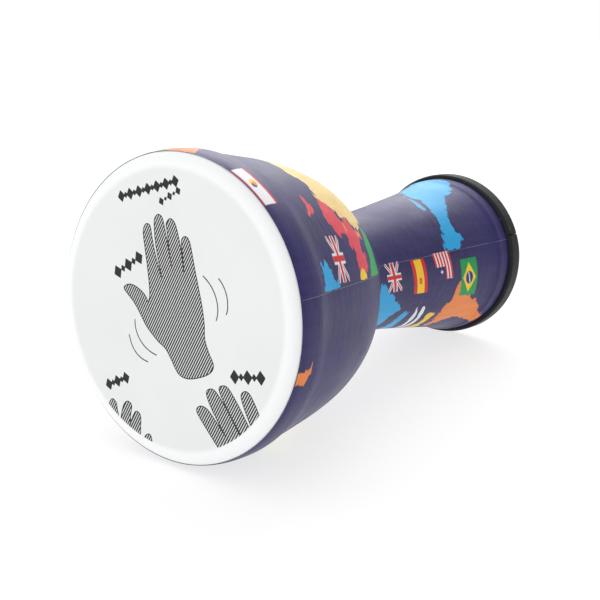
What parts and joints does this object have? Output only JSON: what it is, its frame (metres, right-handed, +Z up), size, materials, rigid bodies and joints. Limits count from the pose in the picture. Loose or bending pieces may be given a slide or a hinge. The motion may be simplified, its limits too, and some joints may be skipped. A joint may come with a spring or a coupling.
{
  "type": "darbuka",
  "caption": "Pre-tuned goblet hand drum: bowl with a fixed film head, narrow throat, flaring open pedestal, printed covers and a rubber foot ring.",
  "frame": {"origin": "centre of the foot ring's underside, on the drum's axis", "axes": "+Z up the drum's axis from the foot to the playing head; +X is the side away from the floor when the drum lies on its side with its seams towards -Y"},
  "size_m": [0.1805, 0.1805, 0.305],
  "materials": {
    "head_film": "white coated drum film, fine grain",
    "hoop": "moulded, plain",
    "shell": "moulded fibre composite, rough inside",
    "sleeve": "moulded, plain",
    "bowl_cover": "satin printed shrink cover",
    "pedestal_cover": "satin printed shrink cover",
    "foot_rubber": "matt extruded rubber"
  },
  "bodies": {
    "root": {"drumhead": "head_film", "head_hoop": "hoop", "bowl_shell": "shell", "throat_sleeve": "sleeve", "pedestal_shell": "shell", "bowl_wrap": "bowl_cover", "pedestal_wrap": "pedestal_cover", "foot_ring": "foot_rubber"}
  },
  "joints": []
}
